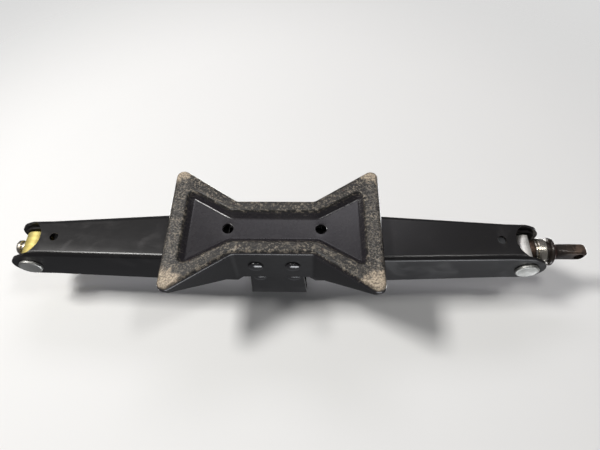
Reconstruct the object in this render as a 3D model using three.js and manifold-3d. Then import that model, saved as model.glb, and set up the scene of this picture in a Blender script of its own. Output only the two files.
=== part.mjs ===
// Scissor car jack, folded flat and standing on its foot. Millimetres, +Z up.
// The lead screw runs along X with its eye at +X; the arms' hinge pins run along Y.
import * as THREE from 'three';
import { mergeVertices } from 'three/addons/utils/BufferGeometryUtils.js';
import Module from 'manifold-3d';

const wasm = await Module();
wasm.setup();

// ---- Linkage ----
const FOLDED_HEIGHT = 91.5;
const FOOT_PIN_X = 14.1;
const FOOT_PIN_Z = 21.2;
const TRUNNION_X = 197.7;
const TRUNNION_Z = 38;
const HEAD_PIN_Z = 2 * TRUNNION_Z - FOOT_PIN_Z;

// ---- Foot: pressed bow-tie plate with a skirt and a dished floor ----
const FOOT = {
  sheet: 2.5, edgeRadius: 3.8, sideX: 80.7, cornerY: 57.1, cornerRadius: 5.8,
  waistX: 30.1, waistY: 23.1, waistRadius: 7,
  skirtWaist: 41, skirtSide: 6, skirtTipX: 75,
};
const DISH = {
  depth: 5, sideX: 69.2, cornerY: 35.8, cornerRadius: 5.5, waistX: 32.5, waistY: 14,
  waistRadius: 4, drainX: 35.3, drainRadius: 4.2,
};

// ---- Arms, in their own frame: trunnion pin at the origin, +x to the middle, web below ----
const ARM = {
  webZ: -17.9, webTilt: THREE.MathUtils.degToRad(2.24), earHoleRadius: 5.5,
  taperStart: 17, taperEnd: 125, webEndX: 161.7, tipZ: 15,
  cutoutX: -5.3, cutoutRadius: 16.5, webHoleX: 22.4, webHoleRadius: 3.5,
  pinX: TRUNNION_X - FOOT_PIN_X, pinZ: FOOT_PIN_Z - TRUNNION_Z, pinHoleRadius: 4.3,
};
// Corners of an arm's side view: the ear's on the trunnion pin, the others on the hub pin.
const ARM_CORNERS = {
  earStart: Math.PI * 1.38, earHeelX: 6.5, earTopX: 20, tipX: -17.5, shoulder: [-9.8, 22.3],
  neck: [-8.3, 10.3], heel: [-4.8, -11.3], webDrop: 9.2,
};
const LOWER_ARM = { sheet: 2.4, bend: 3.8, earHalf: 15.9, innerHalf: 20.3, earRadius: 14.2, tipDrop: 0 };
const UPPER_ARM = { sheet: 2.0, bend: 3.2, earHalf: 13.1, innerHalf: 12.9, earRadius: 11.5, tipDrop: 1.8 };
const GEAR = {
  teeth: 16, pressure: THREE.MathUtils.degToRad(25), addendum: 1.5, dedendum: 2, backlash: 0.3,
  firstTooth: -1, lastTooth: 3, rootOverlap: 1,
};

// ---- Head: pressed saddle bracket with a groove for the sill seam ----
const HEAD = {
  sheet: 2.5, halfY: 15.6, topHalfX: 24.6, bottomHalfX: 22, grooveHalfY: 5, grooveDepth: 8,
  grooveRadius: 1.2, bendRadius: 3.2, lugRadius: 7.6,
};

// ---- Rivets, trunnions and retaining caps ----
const RIVET = { shank: 4, headRadius: 5.8, headHeight: 2.4, edge: 0.7, gap: 0.25 };
const TRUNNION = { radius: 9.8, halfLength: 9.8, journal: 5.2, journalEnd: 17.4, bore: 6.3, seatX: 2.5 };
const CAP = { radius: 9, inner: 16.15, thickness: 2.5, rim: 0.7, recess: 1.6, boreGap: 0.3 };

// ---- Screw line, from the nut end to the eye ----
const SCREW = { radius: 6, endX: -213.4, shoulderX: 221.1, chamfer: 1.1, domeHeight: 0.8 };
const LINE_BORE = 6.3;
const THRUST_WASHER = { start: 200.5, end: 204.5, radius: 9.4 };
const RACE = { start: 204.8, end: 206.5, radius: 9.5 };
const SHELL = { start: 206.8, end: 214, radius: 10.5, rim: 0.9 };
const RING_RIM = 0.4;
const EYE = {
  bossStart: 214.3, bossRadius: 8.2, start: 216.4, rimRadius: 11.1, rimWidth: 3, ease: 0.6,
  neckX: 224.5, neckRadius: 6.2, end: 248, thickness: 9.4, height: 12.4, cornerRadius: 7.2,
  rootLap: 2, endRadius: 6.1, planRadius: 2.6, endSteps: 8,
  holeX: 241.5, holeRadius: 3.4, socketEnd: 221.5,
};

// Steps of a domed rivet head, from its edge to near its crown.
const DOME_ANGLES = [25, 50, 72].map(THREE.MathUtils.degToRad);

const ROUND = 24;
const FINE_ROUND = 36;
const REACH = 60;
const MARGIN = 1;
const WELD = 1e-4;

const MATERIALS = {
  blackPaint: { color: 0x2b2a2c, roughness: 0.35, metalness: 0.0 },
  footPaint: { color: 0x3a3735, roughness: 0.45, metalness: 0.0 },
  blackRivet: { color: 0x2e2d2f, roughness: 0.3, metalness: 0.0 },
  yellowZinc: { color: 0xc9bb74, roughness: 0.4, metalness: 1.0 },
  brightZinc: { color: 0xc4c2ba, roughness: 0.3, metalness: 1.0 },
  screwSteel: { color: 0xa9a69d, roughness: 0.35, metalness: 1.0 },
  eyeSteel: { color: 0x4a433e, roughness: 0.4, metalness: 1.0 },
  brownWasher: { color: 0x5b4a40, roughness: 0.5, metalness: 1.0 },
};

// ---- Geometry helpers ----
function toSolid(geometry) {
  const bare = new THREE.BufferGeometry();
  const source = geometry.index ? geometry.toNonIndexed() : geometry;
  bare.setAttribute('position', source.getAttribute('position').clone());
  const merged = mergeVertices(bare, WELD);
  return new wasm.Manifold(new wasm.Mesh({
    numProp: 3,
    vertProperties: new Float32Array(merged.getAttribute('position').array),
    triVerts: new Uint32Array(merged.index.array),
  }));
}

function toMesh(name, solid, slot) {
  const data = solid.getMesh();
  const geometry = new THREE.BufferGeometry();
  geometry.setAttribute('position', new THREE.BufferAttribute(new Float32Array(data.vertProperties), 3));
  geometry.setIndex(new THREE.BufferAttribute(new Uint32Array(data.triVerts), 1));
  geometry.computeVertexNormals();
  const mesh = new THREE.Mesh(geometry, new THREE.MeshStandardMaterial(MATERIALS[slot]));
  mesh.material.name = slot;
  mesh.name = name;
  return mesh;
}

// Replaces each corner of a closed outline with an arc of that corner's radius.
function filleted(corners, radii, steps = 4) {
  const points = [];
  corners.forEach((corner, i) => {
    const before = corners[(i + corners.length - 1) % corners.length].clone().sub(corner).normalize();
    const after = corners[(i + 1) % corners.length].clone().sub(corner).normalize();
    const half = Math.acos(THREE.MathUtils.clamp(before.dot(after), -1, 1)) / 2;
    const radius = radii[i];
    if (radius === 0) {
      points.push(corner.clone());
      return;
    }
    const centre = before.clone().add(after).normalize().multiplyScalar(radius / Math.sin(half)).add(corner);
    const start = before.clone().multiplyScalar(radius / Math.tan(half)).add(corner).sub(centre).angle();
    const finish = after.clone().multiplyScalar(radius / Math.tan(half)).add(corner).sub(centre).angle();
    let sweep = finish - start;
    sweep -= 2 * Math.PI * Math.round(sweep / (2 * Math.PI));
    for (let k = 0; k <= steps; k += 1) {
      const angle = start + (sweep * k) / steps;
      points.push(new THREE.Vector2(Math.cos(angle), Math.sin(angle)).multiplyScalar(radius).add(centre));
    }
  });
  return new THREE.Shape(points);
}

function outline(pairs) {
  return pairs.map(([x, y]) => new THREE.Vector2(x, y));
}

function plainExtrude(shape, depth) {
  return new THREE.ExtrudeGeometry(shape, { depth, bevelEnabled: false, curveSegments: ROUND / 2 });
}

// Shape (x, y) raised from z0 to z1.
function raised(shape, z0, z1) {
  return toSolid(plainExtrude(shape, z1 - z0).translate(0, 0, z0));
}

// Shape (x, z) carried through the part across Y.
function across(shape, halfY) {
  return toSolid(plainExtrude(shape, 2 * halfY).rotateX(Math.PI / 2).translate(0, halfY, 0));
}

// Shape (y, z) run along X.
function along(shape, halfX) {
  const turn = new THREE.Matrix4().makeBasis(
    new THREE.Vector3(0, 1, 0), new THREE.Vector3(0, 0, 1), new THREE.Vector3(1, 0, 0));
  return toSolid(plainExtrude(shape, 2 * halfX).applyMatrix4(turn).translate(-halfX, 0, 0));
}

// Prism that stands on bottomZ with its lower edge rounded, the outline shrunk by inset.
function roundBottomed(shape, bottomZ, height, radius, inset = 0, steps = 3) {
  return toSolid(new THREE.ExtrudeGeometry(shape, {
    depth: height, bevelEnabled: true, bevelThickness: radius, bevelSize: radius,
    bevelOffset: -radius - inset, bevelSegments: steps, curveSegments: ROUND / 2,
  }).translate(0, 0, bottomZ + radius));
}

// Body under a dished floor: full outline at the rim, sloping in to the floor at topZ.
function slopeTopped(shape, topZ, slope, grow) {
  const depth = 20;
  return toSolid(new THREE.ExtrudeGeometry(shape, {
    depth, bevelEnabled: true, bevelThickness: slope, bevelSize: slope,
    bevelOffset: grow - slope, bevelSegments: 1, curveSegments: ROUND / 2,
  }).translate(0, 0, topZ - depth - slope));
}

function rodX(radius, x0, x1, sides = ROUND) {
  const rod = new THREE.CylinderGeometry(radius, radius, x1 - x0, sides);
  return toSolid(rod.rotateZ(Math.PI / 2).translate((x0 + x1) / 2, 0, 0));
}

function rodY(radius, y0, y1, x = 0, z = 0, sides = ROUND) {
  return toSolid(new THREE.CylinderGeometry(radius, radius, y1 - y0, sides).translate(x, (y0 + y1) / 2, z));
}

function rodZ(radius, z0, z1, x = 0, sides = ROUND) {
  const rod = new THREE.CylinderGeometry(radius, radius, z1 - z0, sides);
  return toSolid(rod.rotateX(Math.PI / 2).translate(x, 0, (z0 + z1) / 2));
}

function block(x0, x1, y0, y1, z0, z1) {
  const box = new THREE.BoxGeometry(x1 - x0, y1 - y0, z1 - z0);
  return toSolid(box.translate((x0 + x1) / 2, (y0 + y1) / 2, (z0 + z1) / 2));
}

function turned(profile, sides = ROUND) {
  return new THREE.LatheGeometry(outline(profile), sides);
}

// ---- Foot ----
function bowTie({ sideX, cornerY, cornerRadius, waistX, waistY, waistRadius }) {
  const corners = outline([
    [sideX, -cornerY], [sideX, cornerY], [waistX, waistY], [-waistX, waistY],
    [-sideX, cornerY], [-sideX, -cornerY], [-waistX, -waistY], [waistX, -waistY],
  ]);
  const tips = [0, 1, 4, 5];
  return filleted(corners, corners.map((_, i) => (tips.includes(i) ? cornerRadius : waistRadius)));
}

function skirtProfile() {
  const side = FOOT.sideX + MARGIN;
  const waist = FOOT.waistX + MARGIN;
  return new THREE.Shape(outline([
    [-side, -MARGIN], [side, -MARGIN], [side, FOOT.skirtSide],
    [FOOT.skirtTipX, FOOT.skirtSide], [waist, FOOT.skirtWaist],
    [-waist, FOOT.skirtWaist], [-FOOT.skirtTipX, FOOT.skirtSide], [-side, FOOT.skirtSide],
  ]));
}

function footPlate() {
  const rim = bowTie(FOOT);
  const dish = bowTie(DISH);
  const innerRadius = FOOT.edgeRadius - FOOT.sheet;
  const shell = roundBottomed(rim, 0, REACH, FOOT.edgeRadius)
    .subtract(roundBottomed(rim, FOOT.sheet, REACH, innerRadius, FOOT.sheet))
    .intersect(across(skirtProfile(), REACH));
  const wallGrow = FOOT.sheet * (Math.SQRT2 - 1);
  let foot = shell
    .add(slopeTopped(dish, FOOT.sheet + DISH.depth, DISH.depth, wallGrow).intersect(
      block(-REACH * 2, REACH * 2, -REACH, REACH, FOOT.sheet / 2, REACH)))
    .subtract(slopeTopped(dish, DISH.depth, DISH.depth, 0));
  for (const side of [-1, 1]) {
    foot = foot
      .subtract(rodZ(DISH.drainRadius, -MARGIN, DISH.depth * 2, side * DISH.drainX))
      .subtract(rodY(ARM.pinHoleRadius, -REACH, REACH, side * FOOT_PIN_X, FOOT_PIN_Z));
  }
  return foot;
}

// ---- Arms ----
function involute(angle) {
  return Math.tan(angle) - angle;
}

function toothShape(centreAngle) {
  const pitch = FOOT_PIN_X;
  const base = pitch * Math.cos(GEAR.pressure);
  const root = pitch - GEAR.dedendum - GEAR.rootOverlap;
  const tip = pitch + GEAR.addendum;
  const pitchHalf = Math.PI / (2 * GEAR.teeth) - GEAR.backlash / (2 * pitch);
  const halfAngle = (radius) => {
    const pressure = Math.acos(Math.min(1, base / radius));
    return pitchHalf + involute(GEAR.pressure) - involute(pressure);
  };
  const radii = [root, base, (base + pitch) / 2, pitch, (pitch + tip) / 2, tip];
  const flank = (sign) => radii.map((radius) => {
    const angle = centreAngle + sign * halfAngle(radius);
    return new THREE.Vector2(ARM.pinX + radius * Math.cos(angle), ARM.pinZ + radius * Math.sin(angle));
  });
  return new THREE.Shape([...flank(-1), ...flank(1).reverse()]);
}

// Side view of an arm: ear round the trunnion pin, flange edges, hub and gear teeth.
function armSide(spec, phase) {
  const { earStart } = ARM_CORNERS;
  const flangeTop = ARM.tipZ - spec.tipDrop;
  const hub = ([x, z]) => [ARM.pinX + x, ARM.pinZ + z];
  const body = new THREE.Shape();
  body.moveTo(ARM_CORNERS.earHeelX, ARM.webZ - MARGIN);
  body.lineTo(spec.earRadius * Math.cos(earStart), spec.earRadius * Math.sin(earStart));
  body.absarc(0, 0, spec.earRadius, earStart, Math.PI / 2, true);
  body.lineTo(ARM_CORNERS.earTopX, flangeTop);
  body.lineTo(ARM.pinX + ARM_CORNERS.tipX, flangeTop);
  body.lineTo(...hub(ARM_CORNERS.shoulder));
  body.lineTo(...hub(ARM_CORNERS.neck));
  body.lineTo(ARM.pinX, ARM.pinZ);
  body.lineTo(...hub(ARM_CORNERS.heel));
  body.lineTo(ARM.webEndX, ARM.webZ - ARM_CORNERS.webDrop);
  let side = across(body, REACH).add(rodY(FOOT_PIN_X - GEAR.dedendum, -REACH, REACH, ARM.pinX, ARM.pinZ));
  for (let k = GEAR.firstTooth; k <= GEAR.lastTooth; k += 1) {
    side = side.add(across(toothShape(((k + phase) * 2 * Math.PI) / GEAR.teeth), REACH));
  }
  return side
    .subtract(rodY(ARM.earHoleRadius, -REACH, REACH))
    .subtract(rodY(ARM.pinHoleRadius, -REACH, REACH, ARM.pinX, ARM.pinZ));
}

function armPlan(spec, inset, overrun) {
  const ear = spec.earHalf - inset;
  const inner = spec.innerHalf - inset;
  const start = -REACH / 2 - overrun;
  const end = ARM.pinX + REACH / 2 + overrun;
  return new THREE.Shape(outline([
    [start, -ear], [ARM.taperStart, -ear], [ARM.taperEnd, -inner], [end, -inner],
    [end, inner], [ARM.taperEnd, inner], [ARM.taperStart, ear], [start, ear],
  ]));
}

function armSolid(spec, phase) {
  const { sheet, bend } = spec;
  const tilt = THREE.MathUtils.radToDeg(ARM.webTilt);
  const clearHalf = spec.earHalf - sheet;
  const channel = roundBottomed(armPlan(spec, 0, 0), ARM.webZ, REACH, bend)
    .subtract(roundBottomed(armPlan(spec, sheet, REACH / 3), ARM.webZ + sheet, REACH, bend - sheet))
    .rotate([0, tilt, 0]);
  const webCut = rodZ(ARM.cutoutRadius, ARM.webZ * 2, 0, ARM.cutoutX, FINE_ROUND)
    .intersect(block(-REACH, REACH, -clearHalf, clearHalf, ARM.webZ * 2, 0));
  const innerClear = spec.innerHalf - sheet;
  const innerCut = block(ARM.webEndX, ARM.webEndX + REACH, -innerClear, innerClear, ARM.webZ * 2, 0);
  return channel
    .intersect(armSide(spec, phase))
    .subtract(webCut)
    .subtract(innerCut)
    .subtract(rodZ(ARM.webHoleRadius, ARM.webZ * 2, 0, ARM.webHoleX));
}

// Stands an arm at its trunnion; side is -1 for the left and 1 for the right end.
function placedArm(spec, side, upper) {
  const phase = side < 0 ? 0 : 0.5;
  let arm = armSolid(spec, phase);
  if (side > 0) {
    arm = arm.mirror([1, 0, 0]);
  }
  if (upper) {
    arm = arm.mirror([0, 0, 1]);
  }
  return arm.translate([side * TRUNNION_X, 0, TRUNNION_Z]);
}

// ---- Head ----
function headSection() {
  const inner = HEAD.halfY - HEAD.sheet;
  const grooveOut = HEAD.grooveHalfY + HEAD.sheet;
  const top = FOLDED_HEIGHT;
  const floor = top - HEAD.grooveDepth;
  const outerHalf = [
    [HEAD.halfY, 0, 0], [HEAD.halfY, top, HEAD.bendRadius], [HEAD.grooveHalfY, top, HEAD.grooveRadius],
    [HEAD.grooveHalfY, floor, 0],
  ];
  const underHalf = [
    [grooveOut, floor - HEAD.sheet, HEAD.grooveRadius], [grooveOut, top - HEAD.sheet, 0],
    [inner, top - HEAD.sheet, HEAD.bendRadius - HEAD.sheet], [inner, 0, 0],
  ];
  const mirrored = (half) => half.map(([y, z, r]) => [-y, z, r]).reverse();
  const loop = [...outerHalf, ...mirrored(outerHalf), ...mirrored(underHalf), ...underHalf];
  return filleted(outline(loop), loop.map(([, , radius]) => radius), 3);
}

function headSide() {
  const side = new THREE.Shape();
  side.moveTo(HEAD.topHalfX, FOLDED_HEIGHT + MARGIN);
  side.lineTo(-HEAD.topHalfX, FOLDED_HEIGHT + MARGIN);
  side.lineTo(-HEAD.bottomHalfX, HEAD_PIN_Z);
  side.absarc(-FOOT_PIN_X, HEAD_PIN_Z, HEAD.lugRadius, Math.PI, Math.PI * 1.5, false);
  side.absarc(FOOT_PIN_X, HEAD_PIN_Z, HEAD.lugRadius, Math.PI * 1.5, Math.PI * 2, false);
  return side;
}

function headBracket() {
  let head = along(headSection(), HEAD.topHalfX + MARGIN).intersect(across(headSide(), REACH));
  for (const side of [-1, 1]) {
    head = head.subtract(rodY(ARM.pinHoleRadius, -REACH, REACH, side * FOOT_PIN_X, HEAD_PIN_Z));
  }
  return head;
}

// ---- Pins, trunnions and the screw line ----
function rivet(halfSpan, x, z) {
  const seat = halfSpan + RIVET.gap;
  const edge = seat + RIVET.edge;
  const rise = RIVET.headHeight - RIVET.edge;
  const half = [[RIVET.shank, seat], [RIVET.headRadius, seat], [RIVET.headRadius, edge]];
  for (const angle of DOME_ANGLES) {
    half.push([RIVET.headRadius * Math.cos(angle), edge + rise * Math.sin(angle)]);
  }
  half.push([0, edge + rise]);
  const mirrored = half.map(([r, y]) => [r, -y]).reverse();
  return toSolid(turned([...mirrored, ...half])).translate([x, 0, z]);
}

function trunnion(seat) {
  let body = rodY(TRUNNION.radius, -TRUNNION.halfLength, TRUNNION.halfLength, 0, 0, FINE_ROUND)
    .add(rodY(TRUNNION.journal, -TRUNNION.journalEnd, TRUNNION.journalEnd))
    .subtract(rodX(TRUNNION.bore, -REACH, REACH, FINE_ROUND));
  if (seat) {
    const { seatX, halfLength } = TRUNNION;
    body = body.subtract(block(seatX, REACH, -halfLength, halfLength, -REACH, REACH));
  }
  return body;
}

function retainingCap(side, face) {
  const end = CAP.inner + CAP.thickness;
  const mouth = CAP.inner + CAP.recess;
  const hole = TRUNNION.journal + CAP.boreGap;
  const profile = [
    [0, mouth], [hole, mouth], [hole, CAP.inner], [CAP.radius - CAP.rim / 2, CAP.inner],
    [CAP.radius, CAP.inner + CAP.rim / 2], [CAP.radius, end - CAP.rim], [CAP.radius - CAP.rim, end], [0, end],
  ];
  const cap = toSolid(turned(profile, FINE_ROUND));
  const facing = face > 0 ? cap : cap.mirror([0, 1, 0]);
  return facing.translate([side * TRUNNION_X, 0, TRUNNION_Z]);
}

// Turned piece on the screw axis from (x, radius) pairs.
function screwLine(profile, sides = ROUND) {
  const solid = turned(profile.map(([x, r]) => [r, x]), sides).rotateZ(-Math.PI / 2);
  return toSolid(solid).translate([0, 0, TRUNNION_Z]);
}

function leadScrew() {
  const { radius, endX, shoulderX, chamfer, domeHeight } = SCREW;
  const shoulder = endX + domeHeight;
  return screwLine([
    [endX, 0], [endX + domeHeight / 3, radius / 2], [shoulder, radius - chamfer],
    [shoulder + chamfer, radius],
    [shoulderX - chamfer, radius], [shoulderX, radius - chamfer], [shoulderX, 0],
  ]);
}

function ring({ start, end, radius, rim = RING_RIM }) {
  return screwLine([
    [start, LINE_BORE], [start, radius - rim], [start + rim, radius], [end - rim, radius],
    [end, radius - rim], [end, LINE_BORE], [start, LINE_BORE],
  ], FINE_ROUND);
}

// Turned collar of the eye: boss against the bearing, full rim, a hollow behind it, and the neck.
function eyeCollar() {
  const { bossStart, bossRadius, start, rimRadius, rimWidth, neckX, neckRadius, ease } = EYE;
  const rimEnd = start + rimWidth;
  return screwLine([
    [bossStart, 0], [bossStart, bossRadius], [start, bossRadius], [start, rimRadius - ease],
    [start + ease, rimRadius], [rimEnd - ease, rimRadius], [rimEnd, rimRadius - ease],
    [rimEnd + 2 * ease, neckRadius + 3 * ease], [rimEnd + 4 * ease, neckRadius + ease],
    [neckX, neckRadius], [neckX + 3 * ease, neckRadius - ease], [neckX + 3 * ease, 0],
  ], FINE_ROUND);
}

// Flattened tang: round at its end in side view, eased at its corners in plan.
function eyeTang() {
  const { endRadius, planRadius } = EYE;
  const root = EYE.neckX - EYE.rootLap;
  const halfHeight = EYE.height / 2;
  const halfThickness = EYE.thickness / 2;
  const side = filleted(outline([
    [root, -halfHeight], [EYE.end, -halfHeight], [EYE.end, halfHeight], [root, halfHeight],
  ]), [0, endRadius, endRadius, 0], EYE.endSteps);
  const plan = filleted(outline([
    [root, -halfThickness], [EYE.end, -halfThickness], [EYE.end, halfThickness], [root, halfThickness],
  ]), [0, planRadius, planRadius, 0]);
  return across(side, REACH)
    .intersect(raised(plan, -REACH, REACH))
    .intersect(rodX(EYE.cornerRadius, root, EYE.end, FINE_ROUND));
}

function screwEye() {
  const socket = rodX(LINE_BORE, EYE.bossStart - MARGIN, EYE.socketEnd, FINE_ROUND)
    .translate([0, 0, TRUNNION_Z]);
  return eyeTang()
    .translate([0, 0, TRUNNION_Z])
    .add(eyeCollar())
    .subtract(rodY(EYE.holeRadius, -REACH, REACH, EYE.holeX, TRUNNION_Z))
    .subtract(socket);
}

// ---- Assembly ----
const group = new THREE.Group();
group.name = 'car_jack';

function put(name, solid, slot) {
  group.add(toMesh(name, solid, slot));
}

put('foot_plate', footPlate(), 'footPaint');
put('head_bracket', headBracket(), 'blackPaint');
for (const [label, side] of [['left', -1], ['right', 1]]) {
  put(`lower_arm_${label}`, placedArm(LOWER_ARM, side, false), 'blackPaint');
  put(`upper_arm_${label}`, placedArm(UPPER_ARM, side, true), 'blackPaint');
  put(`foot_rivet_${label}`, rivet(FOOT.waistY, side * FOOT_PIN_X, FOOT_PIN_Z), 'blackRivet');
  put(`head_rivet_${label}`, rivet(HEAD.halfY, side * FOOT_PIN_X, HEAD_PIN_Z), 'blackRivet');
  for (const [end, face] of [['front', -1], ['rear', 1]]) {
    put(`cap_${label}_${end}`, retainingCap(side, face), 'brightZinc');
  }
}
put('nut_trunnion', trunnion(false).translate([-TRUNNION_X, 0, TRUNNION_Z]), 'yellowZinc');
put('thrust_trunnion', trunnion(true).translate([TRUNNION_X, 0, TRUNNION_Z]), 'brightZinc');
put('lead_screw', leadScrew(), 'screwSteel');
put('thrust_washer', ring(THRUST_WASHER), 'brownWasher');
put('bearing_race', ring(RACE), 'brightZinc');
put('bearing_shell', ring(SHELL), 'brightZinc');
put('screw_eye', screwEye(), 'eyeSteel');

export default group;
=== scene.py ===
"""Looks for the folded scissor jack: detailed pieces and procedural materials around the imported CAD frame.

Row frame: +Z up through the saddle, the lead screw along X with its eye at +X, hinge pins along Y.
Shaders and the stage are in metres. Profiles and sections are in millimetres, scaled by MM in the meshes.
The photograph shows the jack upside down, so the main camera looks up at the foot from below.
"""

import math

import bmesh
import bpy
from mathutils import Matrix, Vector


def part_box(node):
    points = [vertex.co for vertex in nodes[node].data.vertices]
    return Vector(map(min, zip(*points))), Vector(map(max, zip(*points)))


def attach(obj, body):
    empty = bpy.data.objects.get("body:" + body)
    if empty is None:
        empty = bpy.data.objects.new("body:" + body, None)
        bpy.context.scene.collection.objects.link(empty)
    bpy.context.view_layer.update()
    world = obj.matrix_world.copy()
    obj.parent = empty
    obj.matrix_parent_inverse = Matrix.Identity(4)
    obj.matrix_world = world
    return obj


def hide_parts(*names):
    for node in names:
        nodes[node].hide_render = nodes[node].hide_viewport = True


MM = 0.001
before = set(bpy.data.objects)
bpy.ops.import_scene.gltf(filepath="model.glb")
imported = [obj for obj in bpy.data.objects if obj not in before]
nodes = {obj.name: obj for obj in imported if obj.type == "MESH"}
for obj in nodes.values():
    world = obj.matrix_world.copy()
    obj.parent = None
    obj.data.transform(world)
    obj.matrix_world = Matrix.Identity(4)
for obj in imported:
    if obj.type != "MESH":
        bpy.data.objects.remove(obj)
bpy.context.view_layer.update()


# ---- Shader helpers ----
class Tree:
    """Builds one material's node tree; every value may be a number, a tuple or a socket."""

    def __init__(self, name):
        self.material = bpy.data.materials.new(name)
        self.material.use_nodes = True
        self.nt = self.material.node_tree
        self.nt.nodes.clear()

    def set(self, socket, value):
        if isinstance(value, bpy.types.NodeSocket):
            self.nt.links.new(value, socket)
        elif isinstance(value, (tuple, list)) and len(value) == 3 and socket.type == "RGBA":
            socket.default_value = (*value, 1.0)
        else:
            socket.default_value = value

    def node(self, kind, inputs=None, **props):
        made = self.nt.nodes.new(kind)
        for key, value in props.items():
            setattr(made, key, value)
        for key, value in (inputs or {}).items():
            self.set(made.inputs[key], value)
        return made

    def math(self, operation, a, b=0.0, c=0.0, clamp=False):
        inputs = {0: a, 1: b}
        if operation == "MULTIPLY_ADD":
            inputs[2] = c
        return self.node("ShaderNodeMath", inputs, operation=operation, use_clamp=clamp).outputs[0]

    def times(self, a, b):
        return self.math("MULTIPLY", a, b)

    def most(self, a, b):
        return self.math("MAXIMUM", a, b)

    def added(self, value, share, base):
        """base plus a share of value."""
        return self.math("MULTIPLY_ADD", value, share, base)

    def length(self, x, y):
        flat = self.node("ShaderNodeCombineXYZ", {0: x, 1: y}).outputs[0]
        return self.node("ShaderNodeVectorMath", {0: flat}, operation="LENGTH").outputs["Value"]

    def place(self):
        return self.node("ShaderNodeTexCoord").outputs["Object"]

    def axes(self):
        parts = self.node("ShaderNodeSeparateXYZ", {"Vector": self.place()})
        return parts.outputs[0], parts.outputs[1], parts.outputs[2]

    def stretched(self, scale, turn=(0.0, 0.0, 0.0)):
        mapping = self.node("ShaderNodeMapping", {"Vector": self.place(), "Scale": scale, "Rotation": turn})
        return mapping.outputs[0]

    def noise(self, scale, detail, rough, vector=None, distortion=0.0):
        source = self.place() if vector is None else vector
        made = self.node("ShaderNodeTexNoise", {
            "Vector": source, "Scale": scale, "Detail": detail, "Roughness": rough, "Distortion": distortion})
        return made.outputs["Fac"]

    def fade(self, value, low, high, out_low=0.0, out_high=1.0):
        made = self.node("ShaderNodeMapRange", {
            "Value": value, "From Min": low, "From Max": high, "To Min": out_low, "To Max": out_high},
            interpolation_type="SMOOTHSTEP")
        return made.outputs[0]

    def below(self, value, low, high):
        """1 under low, 0 over high."""
        return self.fade(value, low, high, 1.0, 0.0)

    def spots(self, low, high, scale, detail, rough, vector=None, distortion=0.0):
        """Islands where the noise is high: 0 under low, 1 over high."""
        return self.fade(self.noise(scale, detail, rough, vector, distortion), low, high)

    def mix(self, factor, a, b):
        made = self.node("ShaderNodeMix", data_type="RGBA")
        self.set(made.inputs["Factor"], factor)
        self.set(made.inputs[6], a)
        self.set(made.inputs[7], b)
        return made.outputs[2]

    def tint(self, color, over, mask, share):
        """color with a share of over laid on it where the mask is 1."""
        return self.mix(self.times(mask, share), color, over)

    def blend(self, factor, a, b):
        made = self.node("ShaderNodeMix", data_type="FLOAT")
        self.set(made.inputs["Factor"], factor)
        self.set(made.inputs[2], a)
        self.set(made.inputs[3], b)
        return made.outputs[0]

    def bump(self, height, strength, distance, normal=None):
        inputs = {"Height": height, "Strength": strength, "Distance": distance}
        if normal is not None:
            inputs["Normal"] = normal
        return self.node("ShaderNodeBump", inputs).outputs[0]

    def edge(self, radius, low=0.02, high=0.35):
        """1 near an outer or inner edge, 0 on open faces."""
        soft = self.node("ShaderNodeBevel", {"Radius": radius}, samples=4).outputs[0]
        flat = self.node("ShaderNodeNewGeometry").outputs["Normal"]
        dot = self.node("ShaderNodeVectorMath", {0: soft, 1: flat}, operation="DOT_PRODUCT").outputs["Value"]
        return self.fade(self.math("SUBTRACT", 1.0, dot), low, high)

    def finished(self, shader):
        """The material, with this shader as its surface."""
        output = self.node("ShaderNodeOutputMaterial")
        self.nt.links.new(shader.outputs[0], output.inputs[0])
        return self.material

    def surface(self, color, roughness, normal, metallic=0.0, coat=0.0, coat_roughness=0.1, specular=0.5):
        shader = self.node("ShaderNodeBsdfPrincipled", {
            "Base Color": color, "Roughness": roughness, "Metallic": metallic, "Coat Weight": coat,
            "Coat Roughness": coat_roughness, "Specular IOR Level": specular, "Normal": normal})
        return self.finished(shader)


# ---- Materials ----
BLACK = (0.0095, 0.0088, 0.0092)
SMUDGED_BLACK = (0.019, 0.017, 0.0175)
# Dish blacks: lighter and lilac, a painted sheen of reflected light, clouded at random.
DISH_SHEEN_BLACK = (0.0150, 0.0132, 0.0158)
DISH_SHEEN_CLOUD = (0.021, 0.019, 0.021)
RIM_BLACK = (0.013, 0.012, 0.011)
RIM_PATCH = (0.055, 0.049, 0.042)
RIM_SPECKLE = (0.27, 0.235, 0.185)
RIM_SCUFF = (0.25, 0.235, 0.215)
LIP_SPOT = (0.20, 0.17, 0.13)
SAND = (0.47, 0.39, 0.29)
DARK_SAND = (0.16, 0.130, 0.098)
BRIGHT_SCRATCH = (0.38, 0.34, 0.29)
DULL_SCRATCH = (0.085, 0.08, 0.078)
CHIP = (0.20, 0.17, 0.14)
RUST = (0.10, 0.035, 0.018)
COLLAR_RUST = (0.11, 0.030, 0.016)
DUST = (0.16, 0.145, 0.125)
RIVET_BLACK = (0.017, 0.016, 0.018)
RIVET_SPOT = (0.07, 0.06, 0.055)
FORGED = (0.028, 0.022, 0.019)
# Lighter brown: worn forging scale, together with a painted highlight on the tang's lower face.
FORGED_WORN_LIT = (0.135, 0.092, 0.068)
FORGED_PIT = (0.18, 0.13, 0.10)

PEEL_DEPTH = 0.00006
PLATING_DEPTH = 0.00008


def orange_peel(t, strength=0.25):
    """Fine waviness of sprayed paint."""
    height = t.noise(scale=900.0, detail=2.0, rough=0.5)
    return t.bump(height, strength, PEEL_DEPTH)


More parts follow.
